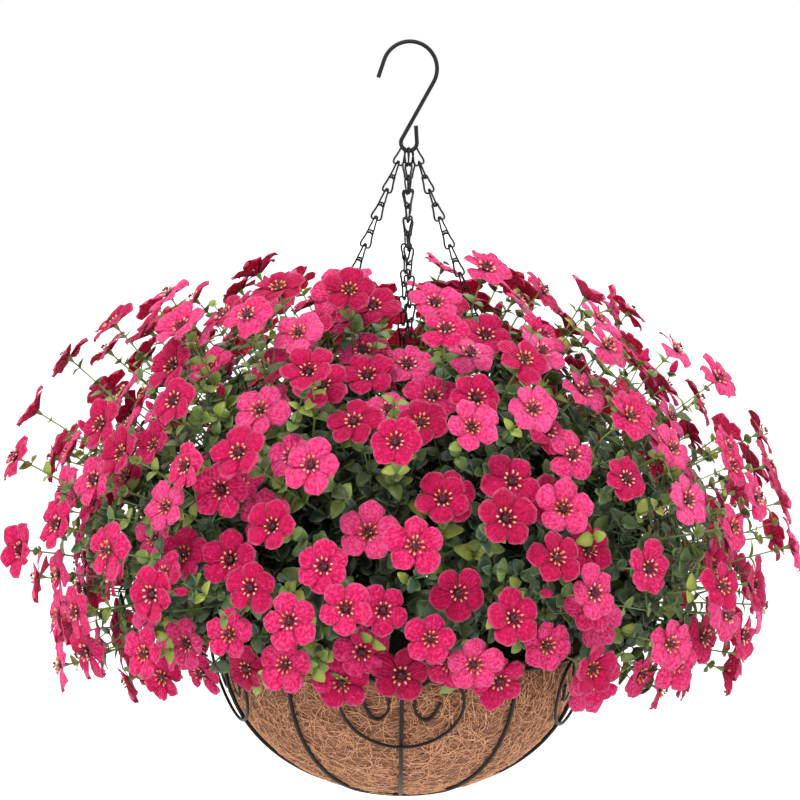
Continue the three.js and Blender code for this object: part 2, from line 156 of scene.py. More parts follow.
def black_paint():
    """Satin black paint on steel wire: nearly black, a little brown, with faint runs in the coat."""
    finish, tree, shader = new_finish("black_paint")
    blotches = object_noise(tree, 180, 4)
    tone = shade_ramp(tree, blotches, [(0.35, (0.0025, 0.002, 0.002)), (0.75, (0.010, 0.007, 0.006))])
    tree.links.new(tone, shader.inputs["Base Color"])
    gloss = tree.nodes.new("ShaderNodeMapRange")
    gloss.inputs["To Min"].default_value = 0.35
    gloss.inputs["To Max"].default_value = 0.6
    tree.links.new(blotches, gloss.inputs["Value"])
    tree.links.new(gloss.outputs["Result"], shader.inputs["Roughness"])
    shader.inputs["Specular IOR Level"].default_value = 0.28
    raise_relief(tree, shader, blotches, 0.25, 0.0003)
    return finish


wire_paint = black_paint()


def pick(piece):
    """Selects one piece and makes it the active one."""
    clear_selection()
    piece.select_set(True)
    bpy.context.view_layer.objects.active = piece


def place_in_mesh(piece):
    """Leaves a piece at the origin, unturned and unscaled, with its place in its mesh."""
    pick(piece)
    bpy.ops.object.transform_apply(location=True, rotation=True, scale=True)
    return piece


def bent_wire(name, route, radius, closed=False, sides=10):
    """A round wire along a route of points, with slightly rounded ends."""
    clear_selection()
    bpy.ops.curve.primitive_nurbs_path_add()
    wire = bpy.context.object
    wire.name = name
    shape = wire.data
    shape.splines.clear()
    spline = shape.splines.new("POLY")
    spline.points.add(len(route) - 1)
    for point, place in zip(spline.points, route):
        point.co = (*place, 1)
    spline.use_cyclic_u = closed
    shape.dimensions = "3D"
    shape.bevel_depth = radius
    shape.bevel_resolution = (sides - 4) // 2
    shape.use_fill_caps = not closed
    shape.twist_mode = "MINIMUM"
    bpy.ops.object.convert(target="MESH")
    wire = bpy.context.object
    bpy.ops.object.mode_set(mode="EDIT")
    bpy.ops.mesh.select_all(action="SELECT")
    bpy.ops.mesh.remove_doubles(threshold=1e-6)
    bpy.ops.mesh.normals_make_consistent(inside=False)
    bpy.ops.object.mode_set(mode="OBJECT")
    bpy.ops.object.shade_smooth_by_angle(angle=math.radians(50))
    place_in_mesh(wire)
    wire.data.materials.append(wire_paint)
    return wire


def arc(centre_x, centre_z, radius, start, stop, steps):
    turn = [start + (stop - start) * i / steps for i in range(steps + 1)]
    return [(centre_x + radius * math.cos(a), 0, centre_z + radius * math.sin(a)) for a in turn]


def hook_route():
    lean = math.asin((HOOK_TOP_RADIUS + HOOK_LOOP_RADIUS) / HOOK_CENTRES)
    top = arc(0, HOOK_TOP_Z, HOOK_TOP_RADIUS, math.pi - HOOK_TIP_LEAN, -lean, 40)
    loop = arc(0, HOOK_LOOP_Z, HOOK_LOOP_RADIUS, math.pi - lean, 2 * math.pi, 24)
    tip = (top[0][0] - HOOK_TIP_LENGTH * math.sin(HOOK_TIP_LEAN), 0,
           top[0][2] - HOOK_TIP_LENGTH * math.cos(HOOK_TIP_LEAN))
    tail = (loop[-1][0] - HOOK_TAIL_LEAN, 0, loop[-1][2] + HOOK_TAIL_LENGTH)
    return [tip, *top, *loop, tail]


hook = bent_wire("s_hook_wire", hook_route(), HOOK_WIRE, sides=14)
bpy.ops.object.modifier_add(type="BEVEL")
hook.modifiers["Bevel"].width = 0.0006
hook.modifiers["Bevel"].segments = 3
hook.modifiers["Bevel"].limit_method = "ANGLE"
bpy.ops.object.modifier_apply(modifier="Bevel")
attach(hook, "hook")
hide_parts("s_hook")


# ---- Chains ----
# Four chains of bent black wire links. Each link is pear shaped with a notch in its wide end, where
# the next link's narrow end sits a quarter turn round. Two chains are fitted with the wide ends up.
RIM_Z = -0.489
RIM_RADIUS = 0.1524
RIM_WIRE = 0.002
FRONT = -math.pi / 2
CHAIN_COUNT = 4
CHAIN_TURN = math.radians(4)
CHAIN_NAMES = ["front", "right", "back", "left"]
CHAIN_BOW = 0.005
CHAIN_SEAT = 0.24
LINK_WIRE = 0.0008
LINK_PITCH = 0.0121
LINK_LENGTH = 0.0146
LINK_LAP = 0.0012  # how far a link's narrow end reaches past its share of the route


def polar(radius, angle, z):
    return Vector((radius * math.cos(angle), radius * math.sin(angle), z))


def chain_angle(i):
    return FRONT + CHAIN_TURN + 2 * math.pi * i / CHAIN_COUNT


def chain_route(i):
    """Where strand i runs, as its two ends and the middle that the flowers push outwards."""
    seat = [-CHAIN_SEAT, 3 * CHAIN_SEAT, CHAIN_SEAT, -3 * CHAIN_SEAT][i]
    top = Vector((HOOK_LOOP_RADIUS * math.sin(seat), 0, HOOK_LOOP_Z - HOOK_LOOP_RADIUS * math.cos(seat)))
    bottom = polar(RIM_RADIUS, chain_angle(i), RIM_Z)
    return top, (top + bottom) / 2 + polar(CHAIN_BOW, chain_angle(i), 0), bottom


def bow(ends, t):
    """The point at t, from 0 to 1, on a route given by its start, its pull and its end."""
    start, pull, stop = ends
    return start * (1 - t) ** 2 + pull * (2 * t * (1 - t)) + stop * t ** 2


def pear_link():
    """One link, hanging down from the origin by its narrow end, flat in XZ."""
    side = [(0.0022, -0.0009), (0.0026, -0.0035), (0.0034, -0.0078), (0.0043, -0.0120),
            (0.0034, -LINK_LENGTH), (0.0016, -LINK_LENGTH)]
    outline = [(0, 0), *side, (0, -0.0137), *[(-x, z) for x, z in reversed(side)]]
    clear_selection()
    bpy.ops.curve.primitive_bezier_circle_add()
    link = bpy.context.object
    spline = link.data.splines[0]
    spline.bezier_points.add(len(outline) - len(spline.bezier_points))
    for point, (x, z) in zip(spline.bezier_points, outline):
        point.co = (x, 0, z)
        point.handle_left_type = "AUTO"
        point.handle_right_type = "AUTO"
    link.data.dimensions = "3D"
    link.data.resolution_u = 2
    link.data.bevel_depth = LINK_WIRE
    link.data.bevel_resolution = 1
    bpy.ops.object.convert(target="MESH")
    bpy.ops.object.shade_smooth()
    return place_in_mesh(bpy.context.object)


def set_down(model, place):
    """A copy of a model, with its own mesh, at a place given as a matrix."""
    piece = bpy.data.objects.new(model.name, model.data.copy())
    bpy.context.scene.collection.objects.link(piece)
    piece.data.transform(place)
    return piece


def join_pieces(name, pieces):
    """Joins copies into one piece with one mesh."""
    clear_selection()
    for piece in pieces:
        piece.select_set(True)
    bpy.context.view_layer.objects.active = pieces[0]
    bpy.ops.object.join()
    joined = bpy.context.object
    joined.name = name
    joined.data.name = name
    return joined


def basis(at, along, facing):
    """A place whose Z runs along a direction and whose Y faces a second one as nearly as it can."""
    z = along.normalized()
    y = (facing - z * facing.dot(z)).normalized()
    x = y.cross(z)
    return Matrix.Translation(at) @ Matrix((x, y, z)).transposed().to_4x4()


link_model = pear_link()
link_model.data.materials.append(wire_paint)
chance = np.random.default_rng(7)
for chain, chain_name in enumerate(CHAIN_NAMES):
    route = chain_route(chain)
    span = sum((bow(route, (k + 1) / 20) - bow(route, k / 20)).length for k in range(20))
    count = round(span / LINK_PITCH)
    flipped = chain % 2 == 0
    across = polar(1, chain_angle(chain) + math.pi / 2, 0)
    links = []
    for k in range(count):
        at = bow(route, k / count)
        way = bow(route, (k + 1) / count) - at
        pitch_fit = way.length / LINK_PITCH
        twist = math.radians(20 + 90 * (k % 2) + chance.uniform(-9, 9))
        place = basis(at - way.normalized() * LINK_LAP, -way, across) @ Matrix.Rotation(twist, 4, "Z")
        place = place @ Matrix.Scale(pitch_fit, 4, (0, 0, 1))
        if flipped:
            place = place @ Matrix.Translation((0, 0, -LINK_LENGTH)) @ Matrix.Rotation(math.pi, 4, "Y")
        links.append(set_down(link_model, place))
    strand = join_pieces(f"chain_{chain_name}_links", links)
    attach(strand, "basket")
    ends = [f"chain_{chain_name}_top_link", f"chain_{chain_name}_rim_link"]
    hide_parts(f"chain_{chain_name}", *ends)
bpy.data.objects.remove(link_model)


# ---- Wire bowl ----
# Steel wire, painted black after welding: a rim ring, a small foot ring, ten ribs between them
# on the outside of the liner, and five scrolls bent like hearts and welded to rim and rib.
BOWL_DEPTH = 0.125
FOOT_RADIUS = 0.048
RIB_COUNT = 10
RIB_WIRE = 0.0016
FOOT_WIRE = 0.0016
SCROLL_COUNT = 5
SCROLL_WIRE = 0.0013
SCROLL_LOBE = 0.029  # how far its lobes' tops are from its middle
SCROLL_DROP = 0.059  # from the rim down to its point
TOUCH = 0.0003


def wire_ring(name, node, radius, wire, z):
    clear_selection()
    bpy.ops.mesh.primitive_torus_add(location=(0, 0, z), major_radius=radius, minor_radius=wire,
                                     major_segments=120, minor_segments=12)
    bpy.ops.object.shade_smooth()
    ring = place_in_mesh(bpy.context.object)
    ring.name = name
    ring.data.materials.append(wire_paint)
    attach(ring, "basket")
    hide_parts(node)


foot_depth = BOWL_DEPTH * math.sqrt(1 - (FOOT_RADIUS / RIM_RADIUS) ** 2)
wire_ring("rim_wire", "rim_ring", RIM_RADIUS, RIM_WIRE, RIM_Z)
wire_ring("foot_wire", "foot_ring", FOOT_RADIUS, FOOT_WIRE, RIM_Z - foot_depth)


def bowl_radius(depth):
    return RIM_RADIUS * math.sqrt(max(0, 1 - (depth / BOWL_DEPTH) ** 2))


def rib_route(angle):
    start = math.asin((RIM_WIRE + TOUCH) / BOWL_DEPTH)
    stop = math.acos((FOOT_RADIUS + FOOT_WIRE + TOUCH) / RIM_RADIUS)
    turns = [start + (stop - start) * i / 28 for i in range(29)]
    return [polar(RIM_RADIUS * math.cos(a), angle, RIM_Z - BOWL_DEPTH * math.sin(a)) for a in turns]


for i in range(RIB_COUNT):
    rib = bent_wire(f"rib_wire_{i + 1:02d}", rib_route(FRONT + 2 * math.pi * i / RIB_COUNT), RIB_WIRE)
    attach(rib, "basket")
    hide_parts(f"rib_{i + 1:02d}")

SCROLL_HALF = [(0, 0), (16, 2.5), (31, 10), (42, 21), (48, 35), (47, 48), (40, 57),
               (29, 60), (17, 54.5), (10.5, 43), (11, 31), (17.5, 24), (24, 27), (30, 39)]


def smooth_route(points, steps):
    """A curve through points, as even steps between each pair."""
    ends = [points[0] * 2 - points[1], *points, points[-1] * 2 - points[-2]]
    route = []
    for a, b, c, d in zip(ends, ends[1:], ends[2:], ends[3:]):
        for k in range(steps):
            t = k / steps
            route.append((b * 2 + (c - a) * t + (a * 2 - b * 5 + c * 4 - d) * t * t
                          + (b * 3 - a - c * 3 + d) * t ** 3) / 2)
    return [*route, points[-1]]


def scroll_place(turn):
    """Leans a scroll from the rib's outside at its foot to the rim's outside at its lobes."""
    reach = math.sqrt(RIM_RADIUS ** 2 - SCROLL_LOBE ** 2) + RIM_WIRE + SCROLL_WIRE + TOUCH
    foot = bowl_radius(SCROLL_DROP) + RIB_WIRE + SCROLL_WIRE + 2 * TOUCH
    lean = math.atan2(reach - foot, SCROLL_DROP)
    return (Matrix.Rotation(turn, 4, "Z") @ Matrix.Translation((0, -foot, RIM_Z - SCROLL_DROP))
            @ Matrix.Rotation(lean, 4, "X"))


half = [Vector((x, 0, z)) / 1000 for x, z in SCROLL_HALF]
mirrored = [Vector((-p.x, 0, p.z)) for p in reversed(half[1:])]
scroll_curve = smooth_route([*mirrored, *half], 5)
for i in range(SCROLL_COUNT):
    place = scroll_place(2 * math.pi * i / SCROLL_COUNT)
    scroll = bent_wire(f"scroll_wire_{i + 1}", [place @ p for p in scroll_curve], SCROLL_WIRE)
    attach(scroll, "basket")
    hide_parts(f"scroll_{i + 1}")


# ---- Coir liner ----
# A bowl of coconut fibre, pressed with a little latex to about 8 mm thick and set inside the wires.
# Its surface is a mat of tangled tan and orange-brown fibres, and its top edge is ragged.
LINER_THICK = 0.008
LINER_GAP = 0.0016
LINER_OUT = RIM_RADIUS - RIB_WIRE - LINER_GAP
LINER_DEEP = BOWL_DEPTH - RIB_WIRE - LINER_GAP
LINER_STAND = 0.004
LINER_ROUNDNESS = 0.135  # the radius that loose fibres are bent to
FIBRE_LENGTH = 0.024
FIBRE_THICK = 0.00027
FIBRE_COUNT = 3900


def coir_fibre(light):
    """Coconut fibre in tan and orange-brown, lighter on the loose strands than on the mat below them, whose
    darker colours are painted shade.
    """
    finish, tree, shader = new_finish("coir_strands" if light else "coir_mat")
    place = tree.nodes.new("ShaderNodeTexCoord")
    height = None
    for k, angle in enumerate((20, 75, 130)):
        turned = tree.nodes.new("ShaderNodeMapping")
        turned.inputs["Rotation"].default_value = (math.radians(angle), math.radians(angle * 0.7), angle)
        turned.inputs["Scale"].default_value = (60, 900, 500)
        streaks = tree.nodes.new("ShaderNodeTexNoise")
        streaks.inputs["Scale"].default_value = 1
        streaks.inputs["Detail"].default_value = 2
        streaks.inputs["Distortion"].default_value = 1.2
        tree.links.new(place.outputs["Object"], turned.inputs["Vector"])
        tree.links.new(turned.outputs["Vector"], streaks.inputs["Vector"])
        if height is None:
            height = streaks.outputs["Fac"]
        else:
            height = math_step(tree, "MAXIMUM", height, streaks.outputs["Fac"])
    # The low ends of the ramps are painted shade in the hollows between fibres, and the mat's darker ramp is
    # painted shade under the loose strands.
    shades = [(0.43, (0.04, 0.013, 0.007)), (0.58, (0.20, 0.078, 0.038)), (0.72, (0.44, 0.195, 0.10))]
    if light:
        shades = [(0.40, (0.24, 0.09, 0.04)), (0.52, (0.55, 0.25, 0.12)), (0.64, (0.80, 0.46, 0.27))]
    tree.links.new(shade_ramp(tree, height, shades), shader.inputs["Base Color"])
    shader.inputs["Roughness"].default_value = 0.9
    raise_relief(tree, shader, height, 0.8, 0.001)
    return finish


def bulge(turn, drop):
    """How far the mat swells out between the ribs, and sags through the foot ring."""
    between_ribs = math.sin(RIB_COUNT / 2 * (turn - FRONT)) ** 2
    return 0.0022 * between_ribs * min(1, drop / 0.15) + 0.0012 * math.sin(drop) ** 8


def liner_shell():
    """Spins the liner's section round the bowl's axis."""
    inner_out, inner_deep = LINER_OUT - LINER_THICK, LINER_DEEP - LINER_THICK
    section = [(inner_out, RIM_Z + LINER_STAND), (LINER_OUT, RIM_Z + LINER_STAND)]
    for i in range(19):
        a = math.pi / 2 * i / 18
        section.append((LINER_OUT * math.cos(a), RIM_Z - LINER_DEEP * math.sin(a)))
    for i in range(13):
        a = math.pi / 2 * (1 - i / 12)
        section.append((inner_out * math.cos(a), RIM_Z - inner_deep * math.sin(a)))
    shape = bpy.data.meshes.new("liner_section")
    edges = [(i, i + 1) for i in range(len(section) - 1)] + [(len(section) - 1, 0)]
    shape.from_pydata([(r, 0, z) for r, z in section], edges, [])
    shell = bpy.data.objects.new("coir_mat_shell", shape)
    bpy.context.scene.collection.objects.link(shell)
    pick(shell)
    bpy.ops.object.mode_set(mode="EDIT")
    bpy.ops.mesh.select_all(action="SELECT")
    bpy.ops.mesh.spin(steps=120, angle=2 * math.pi, center=(0, 0, 0), axis=(0, 0, 1))
    bpy.ops.mesh.select_all(action="SELECT")
    bpy.ops.mesh.remove_doubles(threshold=2e-5)
    bpy.ops.mesh.normals_make_consistent(inside=False)
    bpy.ops.object.mode_set(mode="OBJECT")
    return shell


def roughen(shell, depth):
    """Swells the outside between the ribs, and moves each point in or out by a seeded chance."""
    luck = np.random.default_rng(11)
    for point in shell.data.vertices:
        push = Vector((point.co.x, point.co.y, (point.co.z - RIM_Z) * 1.2))
        drop = math.asin(min(1, max(0, (RIM_Z - point.co.z) / LINER_DEEP)))
        outside = math.hypot(point.co.x, point.co.y) > LINER_OUT * math.cos(drop) - 0.002
        swell = bulge(math.atan2(point.co.y, point.co.x), drop) if outside else 0
        if push.length > 0.01:
            point.co += push.normalized() * (swell + luck.uniform(-depth, depth))
        if point.co.z > RIM_Z + 0.001:
            point.co.z += luck.uniform(-0.001, 0.0015)


liner = liner_shell()
roughen(liner, 0.0006)
pick(liner)
bpy.ops.object.shade_smooth()
liner.data.materials.append(coir_fibre(light=False))
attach(liner, "basket")
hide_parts("coir_liner")


def fibre_model(seed):
    """One curled fibre, lying along X, four sided."""
    luck = np.random.default_rng(seed)
    bend, wave = luck.uniform(-0.3, 0.3), luck.uniform(0.2, 1.0)
    route = []
    for k in range(5):
        t = k / 4 - 0.5
        sway = FIBRE_LENGTH * bend * (4 * t * t - 0.5) + 0.0012 * math.sin(9 * t * wave)
        route.append(Vector((FIBRE_LENGTH * t, sway, 0)))
    clear_selection()
    fibre = bent_wire("fibre", route, FIBRE_THICK, sides=4)
    fibre.data.materials.clear()
    return fibre


def liner_point(turn, drop):
    """A point on the liner's outside and the way out of it there."""
    reach, deep = LINER_OUT * math.cos(drop), LINER_DEEP * math.sin(drop)
    out = Vector((math.cos(drop) / LINER_OUT * math.cos(turn), math.cos(drop) / LINER_OUT * math.sin(turn),
                  -math.sin(drop) / LINER_DEEP)).normalized()
    return polar(reach, turn, RIM_Z - deep), out


strand_finish = coir_fibre(light=True)
fibres = [fibre_model(seed) for seed in range(5)]
for fibre in fibres:
    fibre.data.materials.append(strand_finish)
luck = np.random.default_rng(23)
loose = []
for k in range(FIBRE_COUNT):
    turn = luck.uniform(0, 2 * math.pi)
    drop = math.asin(luck.uniform(0, 1))
    at, out = liner_point(turn, drop)
    at += out * (bulge(turn, drop) + luck.uniform(0.0003, 0.0013))
    lie = basis(at, out, Vector((math.cos(k * 2.4), math.sin(k * 2.4), 0.3)))
    sway = Matrix.Rotation(luck.uniform(0, 2 * math.pi), 4, "Z")
    size = luck.uniform(0.6, 1.3)
    strand = set_down(fibres[k % len(fibres)], sway @ Matrix.Diagonal((size, size, 1, 1)))
    for point in strand.data.vertices:
        flat = point.co.copy()
        sink = (flat.x ** 2 + flat.y ** 2) / (2 * LINER_ROUNDNESS)
        point.co = lie @ Vector((flat.x, flat.y, flat.z - sink))
    loose.append(strand)
loose_fibres = join_pieces("coir_loose_fibres", loose)
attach(loose_fibres, "basket")
for fibre in fibres:
    bpy.data.objects.remove(fibre)


# ---- Foam block ----
# A block of dark green florist's foam, cut to the liner's inside, that holds the cut stems upright.
# It lies out of sight below the leaves, so its own solid stays and only takes a grainy finish, with painted
# shade in the pits of its cells.
def florist_foam():
    finish, tree, shader = new_finish("florist_foam")
    place = tree.nodes.new("ShaderNodeTexCoord")
    cells = tree.nodes.new("ShaderNodeTexVoronoi")
    cells.inputs["Scale"].default_value = 700
    tree.links.new(place.outputs["Object"], cells.inputs["Vector"])
    # Painted shade: darker in the pits of the cells, where the relief is lowest.
    tone = shade_ramp(tree, cells.outputs["Distance"], [(0, (0.012, 0.03, 0.012)), (1, (0.04, 0.085, 0.035))])
    tree.links.new(tone, shader.inputs["Base Color"])
    shader.inputs["Roughness"].default_value = 0.95
    raise_relief(tree, shader, cells.outputs["Distance"], 1.0, 0.0006)
    return finish


foam_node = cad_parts["foam_block"]
foam_node.data.materials.clear()
foam_node.data.materials.append(florist_foam())


# ---- Flower heads ----
# Each head is five or six petals stamped from woven polyester and pressed into a shallow cup, with a
# moulded bunch of stamens pushed through the middle into a green plastic calyx. A bud is a rolled petal.
def attribute(mesh, name, values):
    """Gives each point of a mesh a number of its own, or all of them the same one."""
    layer = mesh.attributes.get(name) or mesh.attributes.new(name, "FLOAT", "POINT")
    layer.data.foreach_set("value", np.broadcast_to(values, len(mesh.vertices)).astype(np.float32))


def point_value(tree, name):
    """The number that a mesh's points carry under a name."""
    carried = tree.nodes.new("ShaderNodeAttribute")
    carried.attribute_name = name
    return carried.outputs["Fac"]


def pale_margin(tree, tone, inside, outside, strength, colour):
    """Mixes a paler colour in from a petal's or leaf's inside to its edge."""
    margin = tree.nodes.new("ShaderNodeMapRange")
    margin.inputs["From Min"].default_value = inside
    margin.inputs["From Max"].default_value = outside
    margin.inputs["To Max"].default_value = strength
    tree.links.new(point_value(tree, "edge"), margin.inputs["Value"])
    paler = tree.nodes.new("ShaderNodeMix")
    paler.data_type = "RGBA"
    paler.inputs["B"].default_value = (*colour, 1)
    tree.links.new(margin.outputs["Result"], paler.inputs["Factor"])
    tree.links.new(tone, paler.inputs["A"])
    return paler.outputs["Result"]


def woven_petal():
    """Fuchsia pink cloth, unevenly dyed, with a pale cut edge, a fine weave and long pleats."""
    finish, tree, shader = new_finish("woven_petal")
    make, link = tree.nodes.new, tree.links.new
    place = make("ShaderNodeTexCoord")
    dye = make("ShaderNodeTexNoise")
    dye.inputs["Scale"].default_value = 420
    dye.inputs["Detail"].default_value = 3
    dye.inputs["Roughness"].default_value = 0.65
    link(place.outputs["Object"], dye.inputs["Vector"])
    ink = math_step(tree, "ADD", dye.outputs["Fac"], point_value(tree, "tint"))
    most_ink = 1.4  # the ramp covers 0 to this
    shades = [(0.55 / most_ink, (0.25, 0.001, 0.030)), (0.85 / most_ink, (0.53, 0.004, 0.090)),
              (1.15 / most_ink, (0.78, 0.09, 0.27))]
    tone = shade_ramp(tree, math_step(tree, "MULTIPLY", ink, 1 / most_ink), shades)
    tone = pale_margin(tree, tone, 0.82, 1.0, 0.5, (0.58, 0.14, 0.24))
    link(tone, shader.inputs["Base Color"])
    shader.inputs["Roughness"].default_value = 0.75
    shader.inputs["Specular IOR Level"].default_value = 0.15
    shader.inputs["Sheen Weight"].default_value = 0.06
    shader.inputs["Sheen Roughness"].default_value = 0.4
    shader.inputs["Subsurface Weight"].default_value = 0.6
    shader.inputs["Subsurface Radius"].default_value = (1.0, 0.3, 0.5)
    shader.inputs["Subsurface Scale"].default_value = 0.0015
    uv = make("ShaderNodeUVMap")
    uv.uv_map = "UVMap"
    pleats = make("ShaderNodeTexWave")
    pleats.inputs["Scale"].default_value = 2.2
    pleats.inputs["Distortion"].default_value = 3.0
    pleats.inputs["Detail"].default_value = 2
    link(uv.outputs["UV"], pleats.inputs["Vector"])
    weave = make("ShaderNodeTexVoronoi")
    weave.inputs["Scale"].default_value = 1400
    link(place.outputs["Object"], weave.inputs["Vector"])
    both = math_step(tree, "MULTIPLY_ADD", weave.outputs["Distance"], 0.35, pleats.outputs["Fac"])
    raise_relief(tree, shader, both, 0.7, 0.0008)
    return finish


petal_cloth = woven_petal()
PETAL_REACH = 0.0236
PETAL_ROOT = 0.0024
PETAL_HALF = 0.0102
CLOTH_THICK = 0.0004
BUD_RADIUS = 0.0036
PETAL_BROADEST = 0.62  # as a part of its length


def petal_model(seed, cup):
    """One petal along +Y, shaped from a flat grid and given the cloth's thickness."""
    luck = np.random.default_rng(seed)
    clear_selection()
    bpy.ops.mesh.primitive_grid_add(x_subdivisions=4, y_subdivisions=4, size=2)
    petal = bpy.context.object
    wave, twist = luck.uniform(0, 6.28), luck.uniform(-0.12, 0.12)
    notch = luck.uniform(-0.02, 0.06)
    edge = []
    for point in petal.data.vertices:
        u, v = point.co.x, math.sin(math.pi / 2 * (point.co.y + 1) / 2) ** 0.85
        if v > PETAL_BROADEST:
            part = (v - PETAL_BROADEST) / (1.04 - PETAL_BROADEST)
            width = PETAL_HALF * math.sqrt(1 - part * part)
        else:
            width = PETAL_HALF * (0.24 + 0.76 * math.sin(math.pi / 2 * v / PETAL_BROADEST))
        length = v - 0.10 * v ** 3 * u * u - notch * v ** 4 * (1 - abs(u))
        reach = (PETAL_REACH - PETAL_ROOT) * length
        lift = cup * reach + 0.26 * cup * PETAL_REACH * math.sin(math.pi * v)
        lift += 0.0014 * v * v * math.sin(2.6 * u + wave) + 0.0007 * v * math.sin(5.5 * u - wave)
        lift += -0.16 * reach * v * v - 0.09 * u * u * width + twist * u * width
        point.co = (u * width, PETAL_ROOT + reach, lift)
        edge.append(max(abs(u), ((v - 0.2) / 0.8)) * min(1, v * 1.6))
    attribute(petal.data, "edge", edge)
    bpy.ops.object.modifier_add(type="SOLIDIFY")
    petal.modifiers["Solidify"].thickness = CLOTH_THICK
    petal.modifiers["Solidify"].offset = 0
    bpy.ops.object.modifier_apply(modifier="Solidify")
    bpy.ops.object.shade_smooth()
    return petal


def flower_petals(seed, count, cup):
    """A whole head's petals, each lapping over the next."""
    luck = np.random.default_rng(seed)
    petals = []
    for k in range(count):
        model = petal_model(seed * 10 + k, cup + luck.uniform(-0.12, 0.12))
        turn = 2 * math.pi * k / count + luck.uniform(-0.09, 0.09)
        lap = Matrix.Rotation(0.13, 4, "Y")
        size = luck.uniform(0.9, 1.04) * (0.93 if count == 6 else 1)
        petals.append(set_down(model, Matrix.Rotation(turn, 4, "Z") @ lap @ Matrix.Scale(size, 4)))
        bpy.data.objects.remove(model)
    head = join_pieces("petals_model", petals)
    head.data.materials.clear()
    head.data.materials.append(petal_cloth)
    return head


petal_models = [flower_petals(31 + k, count, cup) for k, (count, cup) in enumerate(
    [(5, 0.16), (5, 0.28), (5, 0.36), (6, 0.22), (5, 0.10), (5, 0.55)])]


def bud_model():
    """A bud that is still closed: a pointed roll of petal cloth along +Z."""
    clear_selection()
    bpy.ops.mesh.primitive_uv_sphere_add(segments=8, ring_count=5, radius=BUD_RADIUS)
    bpy.ops.object.shade_smooth()
    roll = bpy.context.object
    for point in roll.data.vertices:
        height = point.co.z / BUD_RADIUS
        slim = 1 - 0.35 * max(0, height)
        turn = Matrix.Rotation(0.5 * height, 3, "Z")
        point.co = turn @ Vector((point.co.x * slim, point.co.y * slim, 0.003 + point.co.z * 1.9))
    attribute(roll.data, "edge", 0.4)
    roll.name = "bud_model"
    roll.data.materials.append(petal_cloth)
    return roll


bud = bud_model()


def moulded_stamens():
    """Plastic stamens: a dark purple bunch with a ring of cream and orange tips."""
    finish, tree, shader = new_finish("moulded_stamens")
    shades = [(0.0, (0.022, 0.002, 0.007)), (0.35, (0.09, 0.004, 0.016)), (0.7, (0.62, 0.20, 0.05)),
              (1.0, (0.78, 0.50, 0.36))]
    tree.links.new(shade_ramp(tree, point_value(tree, "ripe"), shades), shader.inputs["Base Color"])
    shader.inputs["Roughness"].default_value = 0.5
    return finish


def spike(foot, tip, radius, ripeness):
    """A three-sided spike from foot to tip."""
    clear_selection()
    way = tip - foot
    bpy.ops.mesh.primitive_cone_add(vertices=3, radius1=radius, radius2=radius * 0.6, depth=way.length,
                                    location=(0, 0, way.length / 2))
    stalk = place_in_mesh(bpy.context.object)
    stalk.data.transform(basis(foot, way, Vector((0.3, 0.2, 1))))
    attribute(stalk.data, "ripe", ripeness)
    return stalk


def bead(at, way, size, ripeness, stretch=1.4, segments=4, rings=3):
    """A small bead, long or flat."""
    clear_selection()
    bpy.ops.mesh.primitive_uv_sphere_add(segments=segments, ring_count=rings, radius=size)
    bpy.ops.object.shade_smooth()
    tip = bpy.context.object
    tip.data.transform(basis(at, way, Vector((0.3, 0.2, 1))) @ Matrix.Diagonal((0.9, 0.9, stretch, 1)))
    attribute(tip.data, "ripe", ripeness)
    return tip


HEART_RADIUS = 0.0036
BUNCH_COUNT = 7
BUNCH_SPREAD = 0.0032
RING_COUNT = 9
RING_REACH = 0.0060


def stamen_model(seed, glow):
    """A dark bunch in the middle and a ring of pale tips round it. Glow makes it yellower."""
    luck = np.random.default_rng(seed)
    pieces = [bead(Vector((0, 0, 0.0014)), Vector((0, 0, 1)), HEART_RADIUS, 0.05, 0.55, 8, 4)]
    for k in range(BUNCH_COUNT):
        a = 2.4 * k
        lean = BUNCH_SPREAD * math.sqrt((k + 0.5) / BUNCH_COUNT)
        foot = Vector((0.3 * lean * math.cos(a), 0.3 * lean * math.sin(a), 0.002))
        tip = Vector((lean * math.cos(a), lean * math.sin(a), 0.0060 + luck.uniform(-0.0008, 0.0008)))
        ripeness = luck.uniform(0, 0.3) + (0.25 + 0.4 * glow) * luck.uniform(0, 1)
        pieces.append(bead(tip, tip - foot, 0.0009, ripeness))
    for k in range(RING_COUNT):
        a = 2 * math.pi * k / RING_COUNT + luck.uniform(-0.12, 0.12)
        foot = Vector((0.0015 * math.cos(a), 0.0015 * math.sin(a), 0.0012))
        reach = RING_REACH + luck.uniform(-0.0005, 0.0005)
        tip = Vector((reach * math.cos(a), reach * math.sin(a), 0.0038 + luck.uniform(-0.0006, 0.0008)))
        pieces.append(spike(foot, tip, 0.0004, 0.25 + 0.35 * glow))
        pieces.append(bead(tip, tip - foot, 0.00115, 0.72 + 0.28 * luck.uniform(0, 1) * (1 - 0.6 * glow)))
    bunch = join_pieces("stamens_model", pieces)
    bunch.data.materials.clear()
    bunch.data.materials.append(stamen_plastic)
    return bunch


stamen_plastic = moulded_stamens()
stamen_models = [stamen_model(seed, glow) for seed, glow in ((41, 0.0), (42, 0.25), (43, 0.9))]


